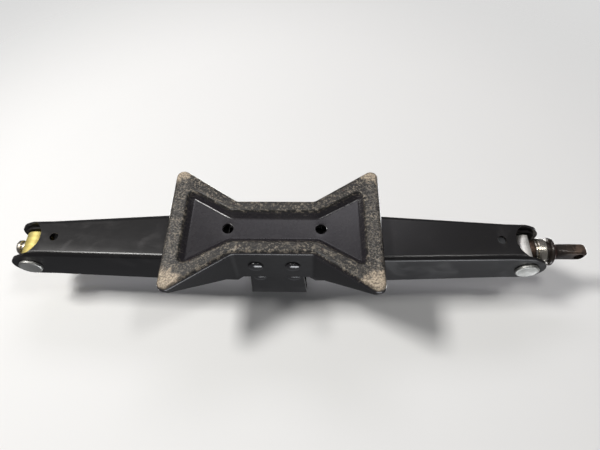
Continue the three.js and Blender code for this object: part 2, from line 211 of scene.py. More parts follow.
def black_paint():
    """Semi-gloss black paint on pressed sheet, with smudges, dust, fine scratches and chipped cut edges."""
    t = Tree("black_paint")
    smudge = t.spots(0.50, 0.72, scale=38.0, detail=4.0, rough=0.6, distortion=0.6)
    dust = t.spots(0.67, 0.74, scale=2600.0, detail=2.0, rough=0.6)
    along_arm = t.stretched((90.0, 2400.0, 2400.0), (0.0, 0.1, 0.35))
    scratch = t.spots(0.70, 0.76, scale=1.0, detail=3.0, rough=0.65, vector=along_arm)
    edge = t.times(t.edge(0.0006), t.spots(0.48, 0.62, scale=420.0, detail=4.0, rough=0.7))
    color = t.tint(BLACK, SMUDGED_BLACK, smudge, 0.55)
    color = t.tint(color, DUST, dust, 0.30)
    color = t.tint(color, DULL_SCRATCH, scratch, 0.35)
    color = t.tint(color, CHIP, edge, 0.6)
    rough = t.blend(smudge, 0.27, 0.40)
    rough = t.added(t.noise(scale=160.0, detail=3.0, rough=0.5), 0.06, rough)
    rough = t.blend(edge, rough, 0.55)
    return t.surface(color, rough, orange_peel(t), specular=0.38)


def corner_wear(t, along_x, y, rim):
    """Ragged bare patches at the four corners of the foot's rim, wider on the +Y side."""
    dx = t.math("SUBTRACT", 0.0790, along_x)
    dy = t.math("SUBTRACT", 0.0565, t.math("ABSOLUTE", y))
    from_corner = t.math("SUBTRACT", t.length(dx, dy), 0.0155)
    spread = t.fade(y, -0.02, 0.02, 0.0170, 0.0225)
    ragged = t.added(t.noise(scale=300.0, detail=5.0, rough=0.7), 0.030, from_corner)
    worn = t.math("SUBTRACT", 1.0, t.math("DIVIDE", ragged, spread), clamp=True)
    return t.times(t.fade(worn, 0.02, 0.26), rim)


def end_scuffs(t, along_x, rim):
    """Grey scuffs on the rim's two short ends."""
    side = t.times(t.fade(along_x, 0.068, 0.073), rim)
    slanted = t.stretched((500.0, 1500.0, 500.0), (0.0, 0.0, 0.5))
    return t.times(side, t.spots(0.50, 0.66, scale=1.0, detail=4.0, rough=0.7, vector=slanted))


def rim_speckle(t, rim):
    """Sand-coloured speckle on the rim, thicker in some stretches than in others."""
    small = t.spots(0.55, 0.60, scale=600.0, detail=3.0, rough=0.7)
    large = t.spots(0.55, 0.60, scale=310.0, detail=4.0, rough=0.7)
    thick = t.fade(t.noise(scale=85.0, detail=4.0, rough=0.65), 0.36, 0.62, 0.30, 1.0)
    return t.times(t.times(rim, t.most(small, large)), thick)


def crossed_scratches(t, lip):
    """Bright scratches in two directions, on the rim and its rounded edge."""
    leaning_left = t.stretched((60.0, 1700.0, 60.0), (0.0, 0.0, -0.62))
    leaning_right = t.stretched((60.0, 1500.0, 60.0), (0.0, 0.0, 0.66))
    left = t.spots(0.66, 0.72, scale=1.0, detail=2.0, rough=0.6, vector=leaning_left)
    right = t.spots(0.67, 0.73, scale=1.0, detail=2.0, rough=0.6, vector=leaning_right)
    return t.times(t.most(left, right), lip)


def foot_paint():
    """Black paint ground down to grey, sand and bright scratches on the rim the jack stands on, with a
    painted lilac sheen on the dish.
    """
    t = Tree("foot_paint")
    x, y, z = t.axes()
    along_x = t.math("ABSOLUTE", x)
    contact = t.below(z, 0.0001, 0.0009)
    rim = t.below(z, 0.0004, 0.0024)
    lip = t.below(z, 0.0012, 0.0052)
    skirt = t.fade(z, 0.004, 0.008)

    corner = corner_wear(t, along_x, y, rim)
    speckle = rim_speckle(t, rim)
    patch = t.times(contact, t.spots(0.42, 0.66, scale=150.0, detail=5.0, rough=0.65))
    rust = t.times(rim, t.spots(0.63, 0.72, scale=330.0, detail=4.0, rough=0.6, distortion=0.4))
    lip_spots = t.times(lip, t.spots(0.62, 0.70, scale=620.0, detail=3.0, rough=0.7))
    grain = t.spots(0.42, 0.56, scale=620.0, detail=4.0, rough=0.75)
    cloud = t.spots(0.35, 0.7, scale=60.0, detail=4.0, rough=0.6)

    # Painted sheen: the dish and the foot's low band get a lighter lilac black in place of the plain black.
    color = t.mix(skirt, t.mix(cloud, DISH_SHEEN_BLACK, DISH_SHEEN_CLOUD), BLACK)
    color = t.mix(rim, color, RIM_BLACK)
    color = t.tint(color, RIM_PATCH, patch, 0.45)
    color = t.tint(color, RIM_SPECKLE, speckle, 0.9)
    color = t.tint(color, RIM_SCUFF, end_scuffs(t, along_x, rim), 0.75)
    color = t.tint(color, RUST, rust, 0.45)
    color = t.tint(color, LIP_SPOT, lip_spots, 0.55)
    color = t.mix(corner, color, t.mix(grain, DARK_SAND, SAND))
    color = t.tint(color, BRIGHT_SCRATCH, crossed_scratches(t, lip), 0.55)

    wear = t.most(corner, t.most(t.times(patch, 0.7), speckle))
    rough = t.blend(rim, t.blend(skirt, 0.24, 0.27), 0.42)
    rough = t.blend(wear, rough, 0.62)
    rough = t.added(t.noise(scale=200.0, detail=3.0, rough=0.5), 0.06, rough)
    pits = t.times(t.noise(scale=950.0, detail=4.0, rough=0.7), 0.6)
    height = t.times(t.math("ADD", pits, t.times(wear, 0.5)), rim)
    normal = t.bump(height, 0.55, 0.00035, orange_peel(t, 0.2))
    return t.surface(color, rough, normal, specular=0.42)


def black_rivet():
    """Glossy black paint pooled on domed rivet heads."""
    t = Tree("black_rivet")
    spots = t.spots(0.62, 0.72, scale=700.0, detail=3.0, rough=0.6)
    color = t.tint(RIVET_BLACK, RIVET_SPOT, spots, 0.4)
    rough = t.added(t.noise(scale=300.0, detail=3.0, rough=0.5), 0.12, 0.13)
    return t.surface(color, rough, orange_peel(t, 0.35), coat=0.4, coat_roughness=0.08, specular=0.6)


def plated(name, base, dull, rough, lines, spot_color=RUST, spot_share=0.35, turning="X", metallic=1.0):
    """Plated steel: turning lines round the part's axis, clouded tone and darker spots."""
    t = Tree(name)
    scale = (lines, 12.0, 12.0) if turning == "X" else (12.0, lines, 12.0)
    ring_lines = t.noise(scale=1.0, detail=2.0, rough=0.5, vector=t.stretched(scale))
    cloud = t.spots(0.35, 0.68, scale=120.0, detail=4.0, rough=0.6)
    spots = t.spots(0.60, 0.70, scale=520.0, detail=4.0, rough=0.7)
    groove = tuple(c * 0.72 for c in dull)
    color = t.mix(cloud, base, dull)
    color = t.tint(color, groove, t.fade(ring_lines, 0.45, 0.62), 0.35)
    color = t.tint(color, spot_color, spots, spot_share)
    value = t.added(cloud, 0.12, rough)
    value = t.added(spots, 0.20, value)
    pitting = t.bump(t.noise(scale=800.0, detail=3.0, rough=0.6), 0.15, PLATING_DEPTH)
    normal = t.bump(ring_lines, 0.2, PLATING_DEPTH, pitting)
    return t.surface(color, value, normal, metallic=metallic)


def eye_steel():
    """Oiled brown-black forging, rusty at the collar; worn scale marks on the tang, lighter brown on its
    lower face as a painted highlight.
    """
    t = Tree("eye_steel")
    x, _, z = t.axes()
    scale_marks = t.noise(scale=260.0, detail=5.0, rough=0.65, distortion=0.5)
    pits = t.noise(scale=1100.0, detail=3.0, rough=0.7)
    worn = t.times(t.fade(x, 0.226, 0.242), t.fade(scale_marks, 0.36, 0.62))
    # Painted highlight: the worn brown counts fully on the tang's lower face, which faces the lamps below,
    # and only a quarter on its upper face.
    worn = t.times(worn, t.fade(z, 0.034, 0.040, 1.0, 0.25))
    rust = t.times(t.below(x, 0.2205, 0.2235), t.fade(x, 0.2180, 0.2198))
    color = t.mix(worn, FORGED, FORGED_WORN_LIT)
    color = t.tint(color, FORGED_PIT, t.fade(pits, 0.58, 0.70), 0.4)
    color = t.mix(t.times(rust, t.fade(pits, 0.35, 0.6)), color, COLLAR_RUST)
    rough = t.added(scale_marks, 0.22, 0.22)
    normal = t.bump(scale_marks, 0.3, 0.0003, t.bump(pits, 0.2, 0.0001))
    return t.surface(color, rough, normal, metallic=0.45, coat=0.25, coat_roughness=0.2)


MATERIALS = {
    "foot_paint": foot_paint(),
    "black_paint": black_paint(),
    "black_rivet": black_rivet(),
    "yellow_zinc": plated("yellow_zinc", (0.66, 0.57, 0.21), (0.57, 0.46, 0.14), 0.52, 500.0,
                          spot_color=(0.28, 0.20, 0.10), spot_share=0.3, turning="Y", metallic=0.75),
    "bright_zinc": plated("bright_zinc", (0.80, 0.79, 0.75), (0.66, 0.64, 0.60), 0.40, 700.0, turning="Y"),
    "cap_zinc": plated("cap_zinc", (0.50, 0.50, 0.48), (0.38, 0.38, 0.36), 0.46, 700.0, turning="Y"),
    "screw_steel": plated("screw_steel", (0.60, 0.57, 0.51), (0.42, 0.38, 0.32), 0.30, 900.0,
                          spot_color=(0.12, 0.08, 0.05)),
    "brown_washer": plated("brown_washer", (0.13, 0.092, 0.070), (0.075, 0.050, 0.038), 0.42, 900.0),
    "bearing_steel": plated("bearing_steel", (0.74, 0.70, 0.62), (0.56, 0.51, 0.43), 0.22, 1300.0),
    "eye_steel": eye_steel(),
}


# ---- Mesh helpers ----
SAME_POINT = 1e-7
TURNED_SHARP = 40.0


def linked(name, data):
    made = bpy.data.objects.new(name, data)
    bpy.context.scene.collection.objects.link(made)
    return made


def baked(bm, name):
    """The bmesh as a mesh; the bmesh is freed."""
    mesh = bpy.data.meshes.new(name)
    bm.to_mesh(mesh)
    bm.free()
    return mesh


def new_object(name, bm, slot, body, replaced, sharp=35.0, look=None):
    """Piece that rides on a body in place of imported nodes; look is a material other than the slot's own."""
    bmesh.ops.remove_doubles(bm, verts=bm.verts, dist=SAME_POINT)
    bmesh.ops.recalc_face_normals(bm, faces=bm.faces)
    mesh = baked(bm, name)
    mesh.shade_smooth()
    mesh.set_sharp_from_angle(angle=math.radians(sharp))
    mesh.materials.append(MATERIALS[look or slot])
    made = linked(name, mesh)
    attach(made, body)
    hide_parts(*replaced)
    return made


def add_rings(bm, rings, closed_ends=True, loop=False):
    """Skins a list of rings, each a list of points of the same length."""
    made = [[bm.verts.new(p) for p in ring] for ring in rings]
    count = len(made[0])
    pairs = list(zip(made, made[1:]))
    if loop:
        pairs.append((made[-1], made[0]))
    for a, b in pairs:
        for i in range(count):
            j = (i + 1) % count
            bm.faces.new((a[i], a[j], b[j], b[i]))
    if closed_ends:
        for ring in (made[0], made[-1]):
            bm.faces.new(ring)
    return made


def circle(sides):
    return [2 * math.pi * k / sides for k in range(sides)]


def turned_rings(profile, centre, axis, sides=64):
    """Rings of a turned shape: profile holds (distance along axis, radius)."""
    rings = []
    for along, radius in profile:
        ring = []
        for a in circle(sides):
            u, v = radius * math.cos(a), radius * math.sin(a)
            offset = Vector((along, u, v)) if axis == "X" else Vector((u, along, v))
            ring.append(centre + offset * MM)
        rings.append(ring)
    return rings


def arc(centre, radius, start, end, steps):
    """Points (a, b) on an arc, angles in degrees."""
    points = []
    for k in range(steps + 1):
        angle = math.radians(start + (end - start) * k / steps)
        points.append((centre[0] + radius * math.cos(angle), centre[1] + radius * math.sin(angle)))
    return points


def add_weighted_normals(obj):
    weighted = obj.modifiers.new("weighted", "WEIGHTED_NORMAL")
    weighted.keep_sharp = True
    weighted.weight = 100


# ---- Foot ----
FOOT = dict(side_x=80.7, corner_y=57.1, corner_r=5.8, waist_x=30.1, waist_y=23.1, waist_r=7.0)
DISH = dict(side_x=69.2, corner_y=35.8, corner_r=5.5, waist_x=32.5, waist_y=14.0, waist_r=4.0)
SKIRT_WAIST, SKIRT_WAIST_X = 41.0, 31.1
SKIRT_SIDE, SKIRT_TIP_X = 6.0, 75.0
SHEET = 2.5
EDGE_RADIUS = 3.8
DISH_DEPTH = 5.0
DISH_EDGE_RADIUS, DISH_FLOOR_RADIUS = 1.9, 2.4
UNDER_EDGE_RADIUS, UNDER_FLOOR_RADIUS = 2.2, 0.4
DRAIN_X, DRAIN_RADIUS, DRAIN_SIDES = 35.3, 4.2, 32
CUT_EASE, CUT_EASE_MIDDLE = 0.5, 0.15
CORNER_STEPS, SIDE_STEPS = 10, 10
# From the start of a 45 degree bend to its corner, for a radius of 1.
BEND_LENGTH = math.tan(math.radians(22.5))


def rounded_corner(corner, before, after, radius, tip):
    """Points with outward normals round one corner; tip is False where the outline turns inwards."""
    half = math.acos(before.dot(after)) / 2
    centre = corner + (before + after).normalized() * (radius / math.sin(half))
    reach = radius / math.tan(half)
    start = corner + before * reach - centre
    end = corner + after * reach - centre
    first = math.atan2(start.y, start.x)
    sweep = math.atan2(end.y, end.x) - first
    sweep -= 2 * math.pi * round(sweep / (2 * math.pi))
    outward = 1 if tip else -1
    points = []
    for k in range(CORNER_STEPS + 1):
        a = first + sweep * k / CORNER_STEPS
        n = Vector((math.cos(a), math.sin(a)))
        points.append((centre + n * radius, n * outward))
    return points


def bow_tie(spec):
    """Outline points with their outward normals, in mm, the same count for every spec."""
    sx, cy, wx, wy = spec["side_x"], spec["corner_y"], spec["waist_x"], spec["waist_y"]
    corners = [(sx, -cy, True), (sx, cy, True), (wx, wy, False), (-wx, wy, False),
               (-sx, cy, True), (-sx, -cy, True), (-wx, -wy, False), (wx, -wy, False)]
    count = len(corners)
    arcs = []
    for i, (x, y, tip) in enumerate(corners):
        corner = Vector((x, y))
        before = (Vector(corners[i - 1][:2]) - corner).normalized()
        after = (Vector(corners[(i + 1) % count][:2]) - corner).normalized()
        radius = spec["corner_r"] if tip else spec["waist_r"]
        arcs.append(rounded_corner(corner, before, after, radius, tip))
    points = []
    for i, corner_points in enumerate(arcs):
        points += corner_points
        (p, n), (q, _) = corner_points[-1], arcs[(i + 1) % count][0]
        points += [(p.lerp(q, k / SIDE_STEPS), n) for k in range(1, SIDE_STEPS)]
    return points


def skirt_top(x):
    slope = (SKIRT_TIP_X - abs(x)) / (SKIRT_TIP_X - SKIRT_WAIST_X)
    return SKIRT_SIDE + (SKIRT_WAIST - SKIRT_SIDE) * min(1.0, max(0.0, slope))


def inset_ring(outline, inset, height):
    """The outline moved inwards; height is a number or a function of the point's x."""
    ring = []
    for p, n in outline:
        q = p - n * inset
        z = height(q.x) if callable(height) else height
        ring.append(Vector((q.x, q.y, z)) * MM)
    return ring


def skirt_ring(rim, inset, share, drop=0.0):
    """Ring on the skirt, a share of the way from its bend to its cut edge less drop."""
    def height(x):
        return EDGE_RADIUS + (skirt_top(x) - drop - EDGE_RADIUS) * share

    return inset_ring(rim, inset, height)


def dish_under_rings(dish):
    """Underside of the dish, outwards: floor bend, wall and edge bend."""
    shift = SHEET * BEND_LENGTH
    floor, edge = UNDER_FLOOR_RADIUS, UNDER_EDGE_RADIUS
    floor_centre = (DISH_DEPTH - shift + floor * BEND_LENGTH, DISH_DEPTH + SHEET - floor)
    edge_centre = (-shift - edge * BEND_LENGTH, SHEET + edge)
    floor_bend = arc(floor_centre, floor, 90, 135, 3)
    edge_bend = reversed(arc(edge_centre, edge, -90, -45, 5))
    return [inset_ring(dish, d, z) for d, z in (*floor_bend, *edge_bend)]


def skirt_rings(rim):
    """Inner bend, inner face of the skirt, its eased cut edge, outer face and outer bend."""
    inner_radius = EDGE_RADIUS - SHEET
    rings = []
    for d, z in reversed(arc((EDGE_RADIUS, EDGE_RADIUS), inner_radius, -180, -90, 6)):
        rings.append(inset_ring(rim, d, z))
    for share in (0.25, 0.5, 0.75, 1.0):
        rings.append(skirt_ring(rim, SHEET, share, CUT_EASE))
    rings.append(skirt_ring(rim, SHEET - CUT_EASE_MIDDLE, 1.0, CUT_EASE_MIDDLE))
    rings.append(skirt_ring(rim, SHEET - CUT_EASE, 1.0))
    rings.append(skirt_ring(rim, CUT_EASE, 1.0))
    rings.append(skirt_ring(rim, CUT_EASE_MIDDLE, 1.0, CUT_EASE_MIDDLE))
    for share in (1.0, 0.75, 0.5, 0.25):
        rings.append(skirt_ring(rim, 0.0, share, CUT_EASE))
    for d, z in arc((EDGE_RADIUS, EDGE_RADIUS), EDGE_RADIUS, -180, -90, 8):
        rings.append(inset_ring(rim, d, z))
    return rings


def dish_rings(dish):
    """Rolled edge, wall and floor bend of the dish."""
    edge, floor = DISH_EDGE_RADIUS, DISH_FLOOR_RADIUS
    edge_bend = arc((-edge * BEND_LENGTH, edge), edge, -90, -45, 6)
    floor_bend = reversed(arc((DISH_DEPTH + floor * BEND_LENGTH, DISH_DEPTH - floor), floor, 90, 135, 6))
    return [inset_ring(dish, d, z) for d, z in (*edge_bend, *floor_bend)]


def drain_hole(bm, x):
    """Wall of a drain hole, rounded where the punch went in."""
    r, z = DRAIN_RADIUS, DISH_DEPTH
    profile = [(r + 0.5, z), (r + 0.12, z + 0.15), (r, z + 0.5), (r, z + SHEET - 0.2), (r + 0.2, z + SHEET)]
    walls = []
    for radius, height in profile:
        walls.append([Vector((x + radius * math.cos(a), radius * math.sin(a), height)) * MM
                      for a in circle(DRAIN_SIDES)])
    return add_rings(bm, walls, closed_ends=False)


def fill_between(bm, loops):
    """Flat field between closed loops of vertices, the first one outermost."""
    edges = []
    for loop in loops:
        for i, v in enumerate(loop):
            w = loop[(i + 1) % len(loop)]
            edges.append(bm.edges.get((v, w)) or bm.edges.new((v, w)))
    bmesh.ops.triangle_fill(bm, use_beauty=True, use_dissolve=False, edges=edges)


def foot_shell():
    """Pressed foot as one closed sheet: underside, skirt, rim, dish and two drain holes."""
    rim, dish = bow_tie(FOOT), bow_tie(DISH)
    bm = bmesh.new()
    made = add_rings(bm, dish_under_rings(dish) + skirt_rings(rim) + dish_rings(dish), closed_ends=False)
    holes = [drain_hole(bm, side * DRAIN_X) for side in (-1, 1)]
    fill_between(bm, [made[-1]] + [hole[0] for hole in holes])
    fill_between(bm, [made[0]] + [hole[-1] for hole in holes])
    shell = new_object("foot_shell", bm, "foot_paint", "foot", ["foot_plate"])
    add_weighted_normals(shell)


# ---- Smoothing of the carried-over sheet parts ----
JOIN_DISTANCE = 2e-6
SHEET_SHARP = 32


def smooth_group():
    """Joins the tessellated faces and marks edges over SHEET_SHARP degrees as sharp."""
    group = bpy.data.node_groups.new("join_and_smooth", "GeometryNodeTree")
    group.interface.new_socket("Geometry", in_out="INPUT", socket_type="NodeSocketGeometry")
    group.interface.new_socket("Geometry", in_out="OUTPUT", socket_type="NodeSocketGeometry")
    start = group.nodes.new("NodeGroupInput")
    end = group.nodes.new("NodeGroupOutput")
    merge = group.nodes.new("GeometryNodeMergeByDistance")
    merge.inputs["Distance"].default_value = JOIN_DISTANCE
    angle = group.nodes.new("GeometryNodeInputMeshEdgeAngle")
    compare = group.nodes.new("FunctionNodeCompare")
    compare.data_type = "FLOAT"
    compare.operation = "GREATER_THAN"
    compare.inputs[1].default_value = math.radians(SHEET_SHARP)
    normal = group.nodes.new("GeometryNodeSetMeshNormal")
    normal.mode = "SHARPNESS"
    normal.inputs["Remove Custom"].default_value = True
    normal.inputs["Face Sharpness"].default_value = False
    links = group.links
    links.new(start.outputs[0], merge.inputs[0])
    links.new(angle.outputs["Unsigned Angle"], compare.inputs[0])
    links.new(merge.outputs[0], normal.inputs["Mesh"])
    links.new(compare.outputs[0], normal.inputs["Edge Sharpness"])
    links.new(normal.outputs[0], end.inputs[0])
    return group


SMOOTH = smooth_group()


def dress(name, slot):
    obj = nodes[name]
    joined = obj.modifiers.new("joined", "NODES")
    joined.node_group = SMOOTH
    add_weighted_normals(obj)
    for material_slot in obj.material_slots:
        material_slot.material = MATERIALS[slot]


# ---- Rivets and caps, turned about Y ----
RIVET_DOME, RIVET_BAND, RIVET_SHANK = 2.4, 0.6, 4.0
RIVET_DOME_STEPS = 7
CAP_BORE, CAP_RECESS = 5.5, 1.6
# Radius of a turned shape's last ring, which is closed by a tiny face.
POINT = 0.05


def turned_piece(name, profile, centre, slot, body, replaced, look=None):
    bm = bmesh.new()
    add_rings(bm, turned_rings(profile, centre, "Y"))
    new_object(name, bm, slot, body, replaced, TURNED_SHARP, look)


def dome(seat, radius):
    """Half a rivet from its head's seat outwards, as (distance, radius)."""
    band = seat + RIVET_BAND
    points = [(seat, RIVET_SHANK), (seat, radius - 0.15), (seat + 0.15, radius), (band, radius)]
    for k in range(1, RIVET_DOME_STEPS + 1):
        a = math.pi / 2 * k / RIVET_DOME_STEPS
        points.append((band + (RIVET_DOME - RIVET_BAND) * math.sin(a), max(radius * math.cos(a), 0.02)))
    return points


def rivet(name, node, body):
    """Hinge pin with a domed head at each end."""
    lo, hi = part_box(node)
    centre = Vector(((lo.x + hi.x) / 2, 0, (lo.z + hi.z) / 2))
    half = dome(hi.y / MM - RIVET_DOME, (hi.x - lo.x) / 2 / MM)
    profile = [(-y, r) for y, r in reversed(half)] + half
    turned_piece(name, profile, centre, "black_rivet", body, [node])


def cap(name, node, body):
    """Retaining cap: rolled rim, faint centre dimple, and a recess at the back for the trunnion's journal."""
    lo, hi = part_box(node)
    facing = 1 if hi.y > 0 else -1
    centre = Vector(((lo.x + hi.x) / 2, 0, (lo.z + hi.z) / 2))
    start, end = sorted((abs(lo.y) / MM, abs(hi.y) / MM))
    radius = (hi.x - lo.x) / 2 / MM
    recess = [(start + CAP_RECESS, POINT), (start + CAP_RECESS, CAP_BORE), (start, CAP_BORE)]
    back_rim = [(start, radius - 0.35), (start + 0.1, radius - 0.1), (start + 0.35, radius)]
    front_rim = [(end - 1.0, radius), (end - 0.6, radius - 0.08), (end - 0.25, radius - 0.35),
                 (end - 0.05, radius - 0.9), (end, radius - 1.3), (end - 0.03, radius - 2.0)]
    dimple = [(end - 0.16, radius - 2.6), (end - 0.18, 3.2), (end - 0.26, 2.4), (end - 0.30, POINT)]
    profile = [(facing * y, r) for y, r in recess + back_rim + front_rim + dimple]
    turned_piece(name, profile, centre, "bright_zinc", body, [node], look="cap_zinc")


# ---- Rings on the lead screw, turned about X ----
RING_BORE = 6.3
RING_SIDES = 72


def screw_ring(name, node, slot, body, shape):
    """Ring on the screw axis; shape(start, end, radius) gives its outer profile."""
    lo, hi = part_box(node)
    start, end = lo.x / MM, hi.x / MM
    outer = shape(start, end, (hi.z - lo.z) / 2 / MM)
    profile = [(start, RING_BORE)] + outer + [(end, RING_BORE)]
    centre = Vector((0, 0, (lo.z + hi.z) / 2))
    bm = bmesh.new()
    add_rings(bm, turned_rings(profile, centre, "X", RING_SIDES), closed_ends=False, loop=True)
    new_object(name, bm, slot, body, [node], TURNED_SHARP)


def washer_shape(start, end, radius):
    return [(start, radius - 0.3), (start + 0.1, radius - 0.08), (start + 0.35, radius),
            (end - 0.35, radius), (end - 0.1, radius - 0.08), (end, radius - 0.3)]


def shell_shape(start, end, radius):
    """Pressed bearing shell: rolled lip, shallow groove, plain band and a turned-in edge."""
    lip = [(start, radius - 0.7), (start + 0.15, radius - 0.2), (start + 0.5, radius), (start + 0.9, radius)]
    groove = [(start + 1.15, radius - 0.3), (start + 1.5, radius - 0.32), (start + 1.8, radius - 0.06)]
    band = [(end - 2.0, radius - 0.02), (end - 1.4, radius)]
    edge = [(end - 0.8, radius - 0.15), (end - 0.3, radius - 0.55), (end, radius - 1.3)]
    return lip + groove + band + edge


# ---- Lead screw ----
THREAD_PITCH, THREAD_DEPTH = 3.0, 1.35
THREAD_RUN_OUT = 1.6
PLAIN_TIP = 5.0
JOURNAL_X = 196.0
THREAD_SIDES = 32
# Height of the thread over one pitch, from its crest: 1 is the crest, 0 the root.
THREAD_WAVE = (1.0, 1.0, 1.0, 0.5, 0.0, 0.0, 0.0, 0.5)
THREAD_SHARP = 38.0


def add_thread(bm, centre, start, end, major):
    """Right-handed trapezoidal thread that runs out at both ends."""
    rows = len(THREAD_WAVE)
    turns = int((end - start) / THREAD_PITCH) + 3
    verts = {}

    def vertex(i, j):
        if j == THREAD_SIDES:
            i, j = i + rows, 0
        if (i, j) not in verts:
            x = start + (i - rows) * THREAD_PITCH / rows + THREAD_PITCH * j / THREAD_SIDES
            x = min(end, max(start, x))
            run = min(1.0, (x - start) / THREAD_RUN_OUT, (end - x) / THREAD_RUN_OUT)
            radius = major + THREAD_DEPTH * (THREAD_WAVE[i % rows] * max(0.0, run) - 1.0)
            a = 2 * math.pi * j / THREAD_SIDES
            verts[i, j] = bm.verts.new(centre + Vector((x, radius * math.cos(a), radius * math.sin(a))) * MM)
        return verts[i, j]

    for i in range(turns * rows):
        for j in range(THREAD_SIDES):
            bm.faces.new((vertex(i, j), vertex(i, j + 1), vertex(i + 1, j + 1), vertex(i + 1, j)))


def lead_screw():
    """Lead screw: thread, plain domed tip at -X and a plain journal at the eye."""
    lo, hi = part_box("lead_screw")
    centre = Vector((0, 0, (lo.z + hi.z) / 2))
    major = (hi.z - lo.z) / 2 / MM
    minor = major - THREAD_DEPTH
    tip, journal = lo.x / MM, hi.x / MM
    start, end = tip + PLAIN_TIP, JOURNAL_X
    tip_profile = [(tip, 0.03), (tip + 0.12, 2.2), (tip + 0.5, 4.0), (tip + 1.1, 5.2),
                   (tip + 1.9, major - 0.15), (tip + 2.6, major - 0.03),
                   (start - 0.7, major - 0.03), (start, minor)]
    journal_profile = [(journal, 0.03), (journal, major - 0.6), (journal - 0.6, major - 0.05),
                       (end + 0.8, major - 0.05), (end + 0.4, major - 0.4), (end, minor)]
    bm = bmesh.new()
    add_thread(bm, centre, start, end, major)
    for profile in (tip_profile, journal_profile):
        rings = add_rings(bm, turned_rings(profile, centre, "X", THREAD_SIDES), closed_ends=False)
        bm.faces.new(rings[0])
    bmesh.ops.remove_doubles(bm, verts=bm.verts, dist=2 * SAME_POINT)
    new_object("threaded_screw", bm, "screw_steel", "screw", ["lead_screw"], THREAD_SHARP)


# ---- Eye ----
EYE_BOSS_RADIUS, EYE_BOSS_LENGTH = 8.2, 2.1
EYE_NECK = 8.1
TANG_HALF_Y, TANG_HALF_Z = 4.7, 6.2
TANG_END, TANG_END_STEPS = 5.8, 10
EYE_SIDES = 64
EYE_HOLE_X, EYE_HOLE_RADIUS, EYE_HOLE_MOUTH = 241.5, 3.5, 4.0
EYE_SHARP = 42.0
ROUND = 2.0


def eye_sections(start, end, rim):
    """Cross-sections from boss to tip: x, half width in Y, half height in Z, squareness (2 is round)."""
    collar = start + EYE_BOSS_LENGTH
    neck = collar + EYE_NECK
    boss = EYE_BOSS_RADIUS
    turned = [(start, boss - 0.3), (start + 0.3, boss), (collar - 0.05, boss),
              (collar, rim - 0.7), (collar + 0.25, rim - 0.2), (collar + 0.7, rim), (collar + 2.3, rim),
              (collar + 2.8, rim - 0.4), (collar + 3.1, rim - 1.2),
              (collar + 3.7, 8.0), (collar + 4.8, 6.9), (collar + 6.2, 6.4)]
    sections = [(x, radius, radius, ROUND) for x, radius in turned]
    sections += [(neck, 6.1, TANG_HALF_Z, 2.2), (neck + 2.5, 5.6, TANG_HALF_Z, 2.7),
                 (neck + 5.0, 5.1, TANG_HALF_Z, 3.6), (neck + 8.0, TANG_HALF_Y, TANG_HALF_Z, 5.0)]
    for k in range(TANG_END_STEPS):
        share = k / TANG_END_STEPS
        a = math.pi / 2 * share
        sections.append((end - TANG_END + TANG_END * math.sin(a),
                         TANG_HALF_Y * (0.35 + 0.65 * math.cos(a) ** 0.6),
                         TANG_HALF_Z * math.cos(a) ** 0.9, 5.0 - 2.0 * share))
    sections.append((end, TANG_HALF_Y * 0.28, TANG_HALF_Z * 0.12, 2.2))
    return sections


def squared_ring(centre, x, half_y, half_z, power):
    """Superellipse across X."""
    ring = []
    for a in circle(EYE_SIDES):
        c, s = math.cos(a), math.sin(a)
        y = half_y * math.copysign(abs(c) ** (2 / power), c)
        z = half_z * math.copysign(abs(s) ** (2 / power), s)
        ring.append(centre + Vector((x, y, z)) * MM)
    return ring


def skinned(name, rings):
    """Closed object for a boolean cut."""
    bm = bmesh.new()
    add_rings(bm, rings)
    bmesh.ops.recalc_face_normals(bm, faces=bm.faces)
    return linked(name, baked(bm, name))


def eye_drill(centre_z):
    """Cutter for the hook's hole, flared where it leaves the tang."""
    mouth, throat = TANG_HALF_Y + 0.05, TANG_HALF_Y - 0.6
    half = [(throat, EYE_HOLE_RADIUS), (mouth, EYE_HOLE_MOUTH), (9.0, 6.0)]
    profile = [(-y, r) for y, r in reversed(half)] + half
    return skinned("eye_drill", turned_rings(profile, Vector((EYE_HOLE_X * MM, 0, centre_z)), "Y", 48))


def forged_eye():
    """Forged eye: boss, collar, neck and a flattened tang with a rounded end, cross-drilled for the hook."""
    lo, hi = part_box("screw_eye")
    centre = Vector((0, 0, (lo.z + hi.z) / 2))
    sections = eye_sections(lo.x / MM, hi.x / MM, (hi.z - lo.z) / 2 / MM)
    blank = skinned("eye_blank", [squared_ring(centre, *section) for section in sections])
    drill = eye_drill(centre.z)
    cut = blank.modifiers.new("drill", "BOOLEAN")
    cut.operation = "DIFFERENCE"
    cut.solver = "EXACT"
    cut.object = drill
    drilled = bpy.data.meshes.new_from_object(blank.evaluated_get(bpy.context.evaluated_depsgraph_get()))
    for helper in (blank, drill):
        bpy.data.objects.remove(helper)
    bm = bmesh.new()
    bm.from_mesh(drilled)
    new_object("forged_eye", bm, "eye_steel", "screw", ["screw_eye"], EYE_SHARP)


# ---- Build ----
foot_shell()
for part in ("lower_arm_left", "lower_arm_right", "upper_arm_left", "upper_arm_right", "head_bracket"):
    dress(part, "black_paint")
dress("nut_trunnion", "yellow_zinc")
dress("thrust_trunnion", "bright_zinc")
for side, block in (("left", "nut_block"), ("right", "thrust_block")):
    rivet(f"domed_foot_rivet_{side}", f"foot_rivet_{side}", "foot")
    rivet(f"domed_head_rivet_{side}", f"head_rivet_{side}", "head")
    for end in ("front", "rear"):
        cap(f"rolled_cap_{side}_{end}", f"cap_{side}_{end}", block)
screw_ring("turned_washer", "thrust_washer", "brown_washer", "thrust_block", washer_shape)
screw_ring("turned_race", "bearing_race", "bearing_steel", "thrust_block", washer_shape)
screw_ring("pressed_shell", "bearing_shell", "bearing_steel", "thrust_block", shell_shape)
lead_screw()
forged_eye()


